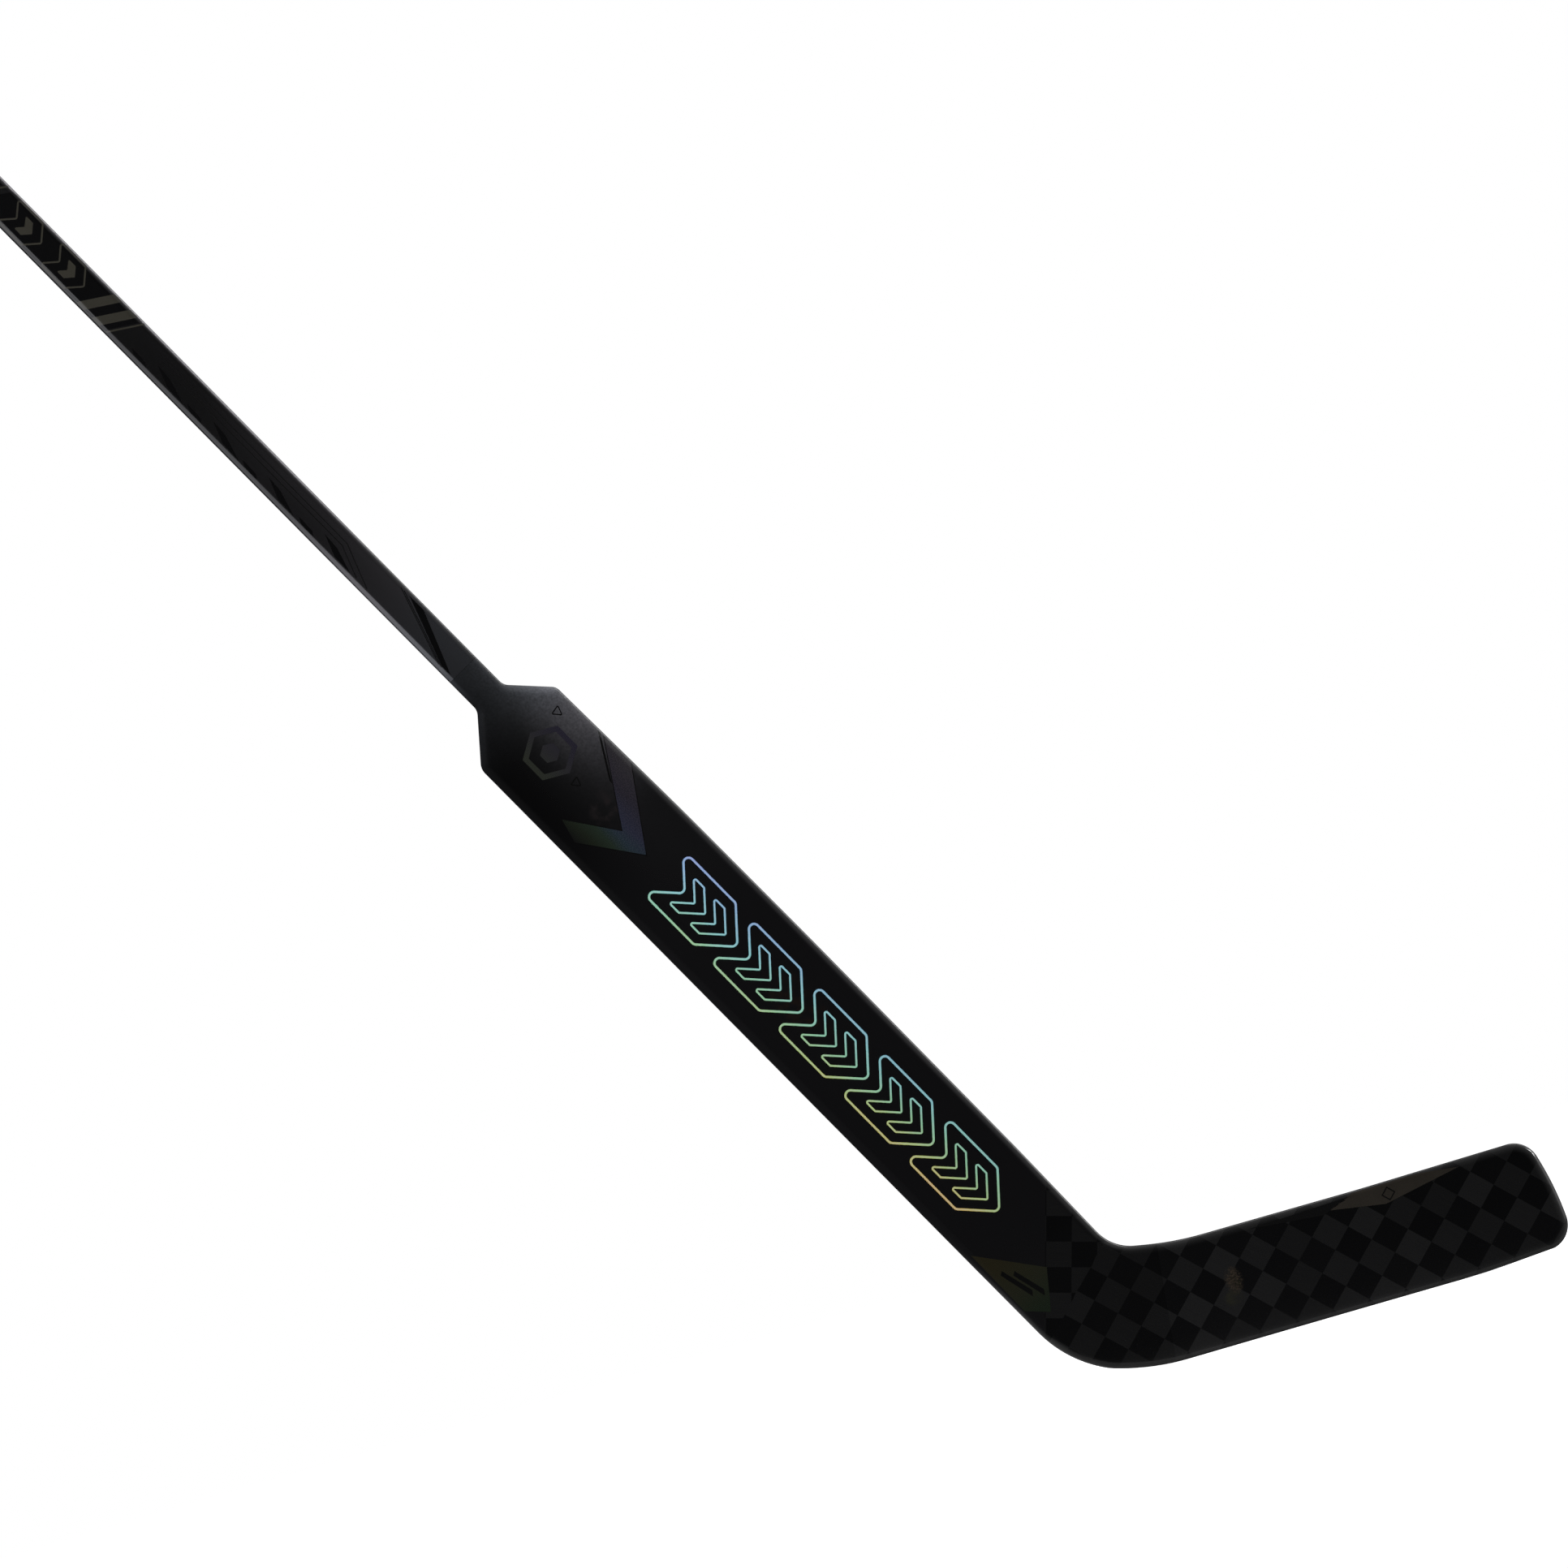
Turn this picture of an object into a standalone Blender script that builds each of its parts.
"""A composite goalkeeper's ice hockey stick, as its separate moulded pieces.

The stick stands on its sole, as it is held in play: +X runs to the toe, +Z up, and -Y is the front face, which
meets the puck. The origin is on the sole's centre line, where the blade starts to curve. Every piece is placed by
three coordinates that follow the stick: u along its centre line from the toe to the butt, across from the heel edge
to the throat edge, and depth from the mid-plane to the front.
"""

import math

import bmesh
import bpy
from mathutils import Vector

# Blade and paddle, seen from the front. Lengths are in metres.
LIE = math.radians(118.46)  # from the sole's direction to the paddle's
HEEL = Vector((-0.120, 0.0))  # where the paddle's heel edge, drawn on, meets the sole's line
BLADE_HEIGHT = 0.0893
PADDLE_WIDTH = 0.0890
PADDLE_END_WIDTH = 0.0865
SHAFT_WIDTH = 0.0283
PADDLE_TOP = 0.674  # distance up the paddle to its shoulders
NECK = 0.7066  # where the shoulders' slopes meet the shaft
BUTT = 1.530  # the whole length, from the heel
PADDLE_MID = 0.0442  # from the heel edge to the centre line that paddle and shaft share
BLADE_MID = 0.0447  # height of the blade's centre line
BEND_RADIUS = 0.100  # of the centre line, from blade to paddle
TOE_REACH = 0.3855  # from the heel to the middle of the toe edge
TOE_LEAN = math.radians(10.2)
TOE_LEAN_RUN = 0.090
TOE_CROWN = 0.0014  # how far the toe edge bows out of its chord
TOE_CROWN_RUN = 0.050

# Through the thickness.
TOE_THICKNESS = 0.0090
BLADE_THICKNESS = 0.0115
PADDLE_THICKNESS = 0.0210
SHAFT_THICKNESS = 0.0200
BLADE_EDGE = 0.0034
PADDLE_EDGE = 0.0070
SHAFT_EDGE = 0.0050
CURVE_DEPTH = 0.038  # how far the toe comes forward
CURVE_POWER = 1.9
TOE_ROUNDING = 0.0030

# Where the cross-sections lie, measured from the toe and from the shoulders.
TOE_STATIONS = (0.0004, 0.0012, 0.003, 0.006, 0.010, 0.015, 0.021, 0.030, 0.055)
SHOULDER_STATIONS = (-0.013, -0.008, -0.004, -0.001, 0.002, 0.005, 0.012, 0.020, 0.028, 0.031, 0.034, 0.038, 0.044)
BLADE_STEP = 0.030
HEEL_STEP = 0.0125
PADDLE_STEP = 0.110
CLOSEST = 0.00025

# Inside.
SKIN = 0.0013
GAP = 0.0003  # between pieces that touch
CUTTER_OVERRUN = 0.003
RIB = 0.0030
TENON_LENGTH = 0.080
TENON_IN_PADDLE = 0.030
HEEL_SKIN_START = 0.012  # beyond the blade's straight part
PADDLE_SKIN_START = 0.088  # up the paddle from the heel
NECK_JOINT = 0.7365  # where the shaft tube starts
SHOULDER_BLOCK_START = 0.630
TOE_FILLET = 0.006  # resin between the toe edge and the blade's cores
PLUG_SPIGOT = 0.036
PLUG_CAP = 0.006
PLUG_CAP_EDGE = 0.0022

# Centre line: a straight along the blade, an arc through the heel and a straight up the paddle.
ALONG = Vector((math.cos(LIE), math.sin(LIE)))
ACROSS = Vector((ALONG.y, -ALONG.x))
TURN = math.pi - LIE
TANGENT = BEND_RADIUS * math.tan(TURN / 2)
KNEE = (BLADE_MID - PADDLE_MID * ACROSS.y) / ALONG.y  # up the paddle, where the two centre lines cross


def on_paddle(along, across):
    """The point this far up the paddle from the heel, and this far across from its heel edge."""
    return HEEL + ALONG * along + ACROSS * across


KNEE_POINT = on_paddle(KNEE, PADDLE_MID)
TOE_POINT = Vector((HEEL.x + TOE_REACH, BLADE_MID))
BLADE_RUN = TOE_POINT.x - (KNEE_POINT.x + TANGENT)
BEND_RUN = BEND_RADIUS * TURN
THICKENING = (BLADE_RUN - 0.030, BLADE_RUN + BEND_RUN + 0.030)  # from the blade's thickness to the paddle's


def u_up_paddle(along):
    return BLADE_RUN + BEND_RUN + along - (KNEE + TANGENT)


def filleted(corners, most_turn=math.radians(5)):
    """The path through the corners, each a point and a radius, with an arc at every corner that has a radius."""
    path = []
    for index, (corner, radius) in enumerate(corners):
        if not radius:
            path.append(corner)
            continue
        before = (corners[index - 1][0] - corner).normalized()
        after = (corners[index + 1][0] - corner).normalized()
        half = before.angle(after) / 2
        turn = math.pi - 2 * half
        centre = corner + (before + after).normalized() * radius / math.sin(half)
        first = corner + before * radius / math.tan(half) - centre
        last = corner + after * radius / math.tan(half) - centre
        side = 1 if first.x * last.y > first.y * last.x else -1
        steps = max(2, math.ceil(turn / most_turn))
        for step in range(steps + 1):
            angle = side * turn * step / steps
            spin = Vector((math.cos(angle), math.sin(angle)))
            path.append(centre + Vector((first.x * spin.x - first.y * spin.y, first.x * spin.y + first.y * spin.x)))
    return path


def heel_side():
    """The outline from the butt down the heel edge, round the heel, along the sole and up into the toe."""
    shaft_edge = PADDLE_MID - SHAFT_WIDTH / 2
    return filleted(
        [
            (on_paddle(BUTT + 0.05, shaft_edge), 0),
            (on_paddle(NECK, shaft_edge), 0.010),
            (on_paddle(PADDLE_TOP - 0.002, 0), 0.012),
            (on_paddle(0.0230, 0), 0.095),
            (HEEL + Vector((0.0437, 0)), 0.192),
            (HEEL + Vector((0.318, 0)), 0.600),
            (HEEL + Vector((0.3738, 0.0038)), 0.013),
            (HEEL + Vector((0.3904, 0.0095)), 0.0205),
            (HEEL + Vector((0.3865, 0.0518)), 0),
            (HEEL + Vector((0.3818, 0.0700)), 0),
        ]
    )


def throat_side():
    """The outline from the butt down the throat edge, through the throat and along the blade's top into the toe."""
    shaft_edge = PADDLE_MID + SHAFT_WIDTH / 2
    top_edge = HEEL.y + BLADE_HEIGHT
    return filleted(
        [
            (on_paddle(BUTT + 0.05, shaft_edge), 0),
            (on_paddle(NECK, shaft_edge), 0.010),
            (on_paddle(PADDLE_TOP + 0.0025, PADDLE_END_WIDTH - 0.0002), 0.009),
            (on_paddle(0.540, PADDLE_WIDTH - 0.0003), 3.0),
            (on_paddle(0.400, PADDLE_WIDTH + 0.0003), 4.0),
            (on_paddle(0.170, PADDLE_WIDTH - 0.0003), 1.5),
            (on_paddle(0.0655, PADDLE_END_WIDTH + 0.0004), 0.036),
            (Vector((HEEL.x + 0.0931, top_edge + 0.0006)), 0.240),
            (Vector((HEEL.x + 0.240, top_edge)), 1.5),
            (Vector((HEEL.x + 0.3758, top_edge + 0.0018)), 0.0205),
            (Vector((HEEL.x + 0.3865, 0.0518)), 0),
            (Vector((HEEL.x + 0.3890, 0.0240)), 0),
        ]
    )


HEEL_SIDE = heel_side()
THROAT_SIDE = throat_side()


def smooth(value, start, end):
    """0 before start, 1 after end, and an even rise between."""
    t = min(max((value - start) / (end - start), 0), 1)
    return t * t * (3 - 2 * t)


def centre_line(u):
    """The point at u, and the direction across the stick there."""
    if u < BLADE_RUN:
        lean = TOE_LEAN * max(1 - u / TOE_LEAN_RUN, 0) ** 2
        return TOE_POINT - Vector((u, 0)), Vector((-math.sin(lean), math.cos(lean)))
    if u > BLADE_RUN + BEND_RUN:
        return on_paddle(u - u_up_paddle(0), PADDLE_MID), ACROSS
    angle = (u - BLADE_RUN) / BEND_RADIUS
    centre = Vector((KNEE_POINT.x + TANGENT, BLADE_MID + BEND_RADIUS))
    across = Vector((math.sin(angle), math.cos(angle)))
    return centre - across * BEND_RADIUS, across


def reach(point, direction, outline):
    """How far it is from the point to the outline in this direction."""
    best = math.inf
    for a, b in zip(outline, outline[1:]):
        edge = b - a
        bottom = direction.x * edge.y - direction.y * edge.x
        if abs(bottom) < 1e-12:
            continue
        to_a = a - point
        distance = (to_a.x * edge.y - to_a.y * edge.x) / bottom
        share = (to_a.x * direction.y - to_a.y * direction.x) / bottom
        if distance > 0 and -1e-9 <= share <= 1 + 1e-9:
            best = min(best, distance)
    return best


def half_thickness(u):
    """Half the stick's thickness at u, with the toe's edge rounded off."""
    shoulder = smooth(u, u_up_paddle(PADDLE_TOP), u_up_paddle(NECK_JOINT))
    thickness = TOE_THICKNESS + (BLADE_THICKNESS - TOE_THICKNESS) * min(u / BLADE_RUN, 1)
    thickness += (PADDLE_THICKNESS - BLADE_THICKNESS) * smooth(u, *THICKENING)
    thickness += (SHAFT_THICKNESS - PADDLE_THICKNESS) * shoulder
    short = max(TOE_ROUNDING - u, 0)
    return thickness / 2 - TOE_ROUNDING + math.sqrt(TOE_ROUNDING**2 - short**2)


def edge_radius(u):
    """The rounding of the stick's long edges at u."""
    heel = smooth(u, *THICKENING)
    shoulder = smooth(u, u_up_paddle(PADDLE_TOP), u_up_paddle(NECK_JOINT))
    radius = BLADE_EDGE + (PADDLE_EDGE - BLADE_EDGE) * heel + (SHAFT_EDGE - PADDLE_EDGE) * shoulder
    return min(radius, half_thickness(u) * 0.9)


def forward(x):
    """How far the curved blade comes forward of the paddle's plane at x."""
    run = HEEL.x + TOE_REACH
    return CURVE_DEPTH * (max(x, 0) / run) ** CURVE_POWER


class Section:
    """The stick's cross-section at u: how far it reaches to each side, its half thickness and its edge radius."""

    def __init__(self, u):
        self.u = u
        self.point, self.across = centre_line(u)
        self.low = reach(self.point, -self.across, HEEL_SIDE)
        self.high = reach(self.point, self.across, THROAT_SIDE)
        self.half = half_thickness(u)
        self.radius = edge_radius(u)

    def place(self, across, depth):
        """The point in space for a place on this section."""
        share = (across + self.low) / (self.low + self.high)
        crown = TOE_CROWN * max(1 - self.u / TOE_CROWN_RUN, 0) ** 2 * 4 * share * (1 - share)
        flat = self.point + self.across * across
        x = flat.x + crown
        return Vector((x, -depth - forward(x), flat.y))


def corner_arc(across, depth, radius, first_quarter, steps):
    """A quarter turn about a corner's centre, given in quarters from the throat side."""
    angles = [math.pi / 2 * (first_quarter + step / steps) for step in range(steps + 1)]
    return [(across + radius * math.cos(angle), depth + radius * math.sin(angle)) for angle in angles]


def full_profile(section, inset, low=None, high=None, steps=3):
    """A rounded outline inset from the stick's surface. A side given by low or high is cut square there instead."""
    half = section.half - inset
    radius = max(section.radius - inset, 0.0006)
    right = section.high - inset
    left = -section.low + inset
    points = []
    if high is None:
        points += corner_arc(right - radius, -half + radius, radius, -1, steps)
        points += corner_arc(right - radius, half - radius, radius, 0, steps)
    else:
        points += [(high, -half), (high, half)]
    if low is None:
        points += corner_arc(left + radius, half - radius, radius, 1, steps)
        points += corner_arc(left + radius, -half + radius, radius, 2, steps)
    else:
        points += [(low, half), (low, -half)]
    return points


def half_profile(section, inset, side, base, steps=3):
    """The front half (side 1) or back half (side -1) of the rounded outline, closed along depth = base."""
    half = section.half - inset
    radius = max(section.radius - inset, 0.0006)
    right = section.high - inset
    left = -section.low + inset
    points = [(right, base)]
    points += corner_arc(right - radius, half - radius, radius, 0, steps)
    points += corner_arc(left + radius, half - radius, radius, 1, steps)
    points += [(left, base)]
    return [(across, side * depth) for across, depth in points]


def loft(name, sections, profile):
    """A closed mesh through the profiles of these sections."""
    bm = bmesh.new()
    rings = []
    for section in sections:
        rings.append([bm.verts.new(section.place(*spot)) for spot in profile(section)])
    for ring, following in zip(rings, rings[1:]):
        for index in range(len(ring)):
            after = (index + 1) % len(ring)
            bm.faces.new((ring[index], ring[after], following[after], following[index]))
    bm.faces.new(rings[0])
    bm.faces.new(reversed(rings[-1]))
    bmesh.ops.recalc_face_normals(bm, faces=bm.faces)
    return finish_mesh(name, bm)


def finish_mesh(name, bm):
    mesh = bpy.data.meshes.new(name)
    bm.to_mesh(mesh)
    bm.free()
    mesh.shade_smooth()
    mesh.set_sharp_from_angle(angle=math.radians(35))
    return bpy.data.objects.new(name, mesh)


def evenly(start, end, step):
    """Places from start, a little apart, up to just before end."""
    count = round((end - start) / step)
    return [start + (end - start) * index / count for index in range(count)]


def stations(start, end):
    """The sections from start to end: close together at the toe, the heel and the shoulders."""
    shoulder = u_up_paddle(PADDLE_TOP)
    marks = list(TOE_STATIONS)
    marks += evenly(TOE_STATIONS[-1] + BLADE_STEP, THICKENING[0], BLADE_STEP)
    marks += evenly(*THICKENING, HEEL_STEP)
    marks += evenly(THICKENING[1], shoulder + SHOULDER_STATIONS[0], PADDLE_STEP)
    marks += [shoulder + offset for offset in SHOULDER_STATIONS]
    inner = [u for u in marks if start + CLOSEST < u < end - CLOSEST]
    return [Section(u) for u in (start, *inner, end)]


def cut(target, cutter, operation="DIFFERENCE"):
    modifier = target.modifiers.new(cutter.name, "BOOLEAN")
    modifier.operation = operation
    modifier.object = cutter


def helper(obj, cutters):
    obj.hide_render = True
    obj.display_type = "WIRE"
    cutters.objects.link(obj)
    return obj


def skin(name, start, end, side, cutters):
    """Half of the stick's wall from start to end, on the front (side 1) or the back (side -1)."""
    shell = loft(name, stations(start, end), lambda section: half_profile(section, 0, side, GAP / 2))
    inner_start = SKIN if start == 0 else start - CUTTER_OVERRUN
    inner = loft(
        name + "_inside",
        stations(inner_start, end + CUTTER_OVERRUN),
        lambda section: half_profile(section, SKIN, side, -CUTTER_OVERRUN),
    )
    cut(shell, helper(inner, cutters))
    return shell


def core(name, start, end, low=None, high=None):
    """A solid filling inside the skins from start to end, cut square at low or high where it meets the rib."""
    inset = SKIN + GAP
    sections = stations(start, end)
    return loft(name, sections, lambda section: full_profile(section, inset, low, high))


def rib(name, start, end):
    """The web on the centre line, from the front skin to the back skin."""
    inset = SKIN + GAP
    half_rib = RIB / 2
    return loft(name, stations(start, end), lambda section: full_profile(section, inset, -half_rib, half_rib))


def shaft_frame():
    """The empty that carries the shaft's pieces: its Z runs up the shaft, its X across to the throat side."""
    frame = bpy.data.objects.new("shaft_axis", None)
    start = on_paddle(NECK_JOINT, PADDLE_MID)
    frame.location = (start.x, 0, start.y)
    frame.rotation_euler = (0, math.pi / 2 - LIE, 0)
    return frame


def rounded_rectangle(width, depth, radius, steps=4):
    """The corners of a rounded rectangle about the origin."""
    points = []
    for quarter, (x, y) in enumerate(((1, 1), (-1, 1), (-1, -1), (1, -1))):
        points += corner_arc(x * (width / 2 - radius), y * (depth / 2 - radius), radius, quarter, steps)
    return points


def extruded(name, outlines, bottom, top):
    """A solid between two heights from closed outlines, the second one a hole."""
    curve = bpy.data.curves.new(name, "CURVE")
    curve.dimensions = "2D"
    curve.fill_mode = "BOTH"
    curve.extrude = (top - bottom) / 2
    for outline in outlines:
        spline = curve.splines.new("POLY")
        spline.points.add(len(outline) - 1)
        for point, (x, y) in zip(spline.points, outline):
            point.co = (x, y, 0, 1)
        spline.use_cyclic_u = True
    source = bpy.data.objects.new(name, curve)
    bpy.context.scene.collection.objects.link(source)
    bpy.context.view_layer.update()
    mesh = bpy.data.meshes.new_from_object(source.evaluated_get(bpy.context.evaluated_depsgraph_get()))
    bpy.data.objects.remove(source)
    bm = bmesh.new()
    bm.from_mesh(mesh)
    bpy.data.meshes.remove(mesh)
    bmesh.ops.remove_doubles(bm, verts=bm.verts, dist=1e-5)
    bmesh.ops.translate(bm, verts=bm.verts, vec=(0, 0, (top + bottom) / 2))
    return finish_mesh(name, bm)


def shaft_tube():
    """The hollow shaft, open at both ends."""
    outer = rounded_rectangle(SHAFT_WIDTH, SHAFT_THICKNESS, SHAFT_EDGE)
    hollow = rounded_rectangle(SHAFT_WIDTH - 2 * SKIN, SHAFT_THICKNESS - 2 * SKIN, SHAFT_EDGE - SKIN)
    return extruded("shaft_tube", (outer, hollow), 0, BUTT - PLUG_CAP - NECK_JOINT)


def neck_tenon():
    """The block that joins the shaft to the paddle, half in each."""
    inset = 2 * (SKIN + GAP)
    outline = rounded_rectangle(SHAFT_WIDTH - inset, SHAFT_THICKNESS - inset, SHAFT_EDGE - SKIN - GAP)
    return extruded("neck_tenon", (outline,), -TENON_IN_PADDLE, TENON_LENGTH - TENON_IN_PADDLE)


def butt_plug(cutters):
    """The stopper in the shaft's top end: a spigot inside the tube, and a cap as wide as the shaft."""
    inset = 2 * (SKIN + GAP)
    cap = extruded(
        "butt_plug", (rounded_rectangle(SHAFT_WIDTH, SHAFT_THICKNESS, SHAFT_EDGE),), GAP, PLUG_CAP + GAP
    )
    bevel = cap.modifiers.new("edge", "BEVEL")
    bevel.width = PLUG_CAP_EDGE
    bevel.segments = 2
    bevel.limit_method = "ANGLE"
    bevel.angle_limit = math.radians(60)
    outline = rounded_rectangle(SHAFT_WIDTH - inset, SHAFT_THICKNESS - inset, SHAFT_EDGE - SKIN - GAP)
    spigot = extruded("butt_plug_spigot", (outline,), -PLUG_SPIGOT, PLUG_CAP / 2)
    cut(cap, helper(spigot, cutters), "UNION")
    return cap


def finish(name, colour, roughness, metallic=0.0):
    """A Principled material with this colour."""
    material = bpy.data.materials.new(name)
    material.use_nodes = True
    shader = material.node_tree.nodes["Principled BSDF"]
    shader.inputs["Base Color"].default_value = (*colour, 1)
    shader.inputs["Roughness"].default_value = roughness
    shader.inputs["Metallic"].default_value = metallic
    return material


def main():
    for obj in list(bpy.data.objects):
        bpy.data.objects.remove(obj)
    parts = bpy.data.collections.new("goalkeeper_stick")
    cutters = bpy.data.collections.new("cutters")
    bpy.context.scene.collection.children.link(parts)
    bpy.context.scene.collection.children.link(cutters)

    half_gap = GAP / 2
    blade_end = BLADE_RUN + HEEL_SKIN_START
    paddle_start = u_up_paddle(PADDLE_SKIN_START)
    shoulder = u_up_paddle(SHOULDER_BLOCK_START)
    neck = u_up_paddle(NECK_JOINT)
    tenon_foot = u_up_paddle(NECK_JOINT - TENON_IN_PADDLE)
    beside_rib = RIB / 2 + GAP

    lacquer = finish("lacquer_black", (0.006, 0.006, 0.007), 0.35)
    weave = finish("spread_tow_carbon", (0.010, 0.010, 0.011), 0.30)
    foam = finish("core_foam", (0.62, 0.58, 0.47), 0.90)
    laminate = finish("rib_laminate", (0.020, 0.020, 0.022), 0.55)
    filler = finish("dense_foam", (0.50, 0.36, 0.20), 0.85)
    tenon = finish("tenon_laminate", (0.030, 0.030, 0.032), 0.60)
    rubber = finish("plug_rubber", (0.012, 0.012, 0.012), 0.70)

    made = [
        (skin("blade_front_skin", 0, blade_end - half_gap, 1, cutters), weave),
        (skin("blade_back_skin", 0, blade_end - half_gap, -1, cutters), weave),
        (skin("heel_front_skin", blade_end + half_gap, paddle_start - half_gap, 1, cutters), weave),
        (skin("heel_back_skin", blade_end + half_gap, paddle_start - half_gap, -1, cutters), weave),
        (skin("paddle_front_skin", paddle_start + half_gap, neck - GAP, 1, cutters), lacquer),
        (skin("paddle_back_skin", paddle_start + half_gap, neck - GAP, -1, cutters), lacquer),
        (core("blade_core_lower", TOE_FILLET, blade_end - half_gap, high=-beside_rib), foam),
        (core("blade_core_upper", TOE_FILLET, blade_end - half_gap, low=beside_rib), foam),
        (rib("blade_rib", TOE_FILLET, blade_end - half_gap), laminate),
        (core("heel_block", blade_end + half_gap, paddle_start - half_gap), filler),
        (core("paddle_core_heel_side", paddle_start + half_gap, shoulder - half_gap, high=-beside_rib), foam),
        (core("paddle_core_throat_side", paddle_start + half_gap, shoulder - half_gap, low=beside_rib), foam),
        (rib("paddle_rib", paddle_start + half_gap, shoulder - half_gap), laminate),
        (core("shoulder_block", shoulder + half_gap, tenon_foot - GAP), filler),
    ]
    axis = shaft_frame()
    parts.objects.link(axis)
    plug_axis = bpy.data.objects.new("plug_slide", None)
    plug_axis.location = (0, 0, BUTT - PLUG_CAP - NECK_JOINT)
    plug_axis.parent = axis
    parts.objects.link(plug_axis)
    for obj, holder, material in (
        (shaft_tube(), axis, lacquer),
        (neck_tenon(), axis, tenon),
        (butt_plug(cutters), plug_axis, rubber),
    ):
        obj.parent = holder
        made.append((obj, material))
    bpy.data.objects["butt_plug_spigot"].parent = plug_axis
    for obj, material in made:
        obj.data.materials.append(material)
        parts.objects.link(obj)


main()
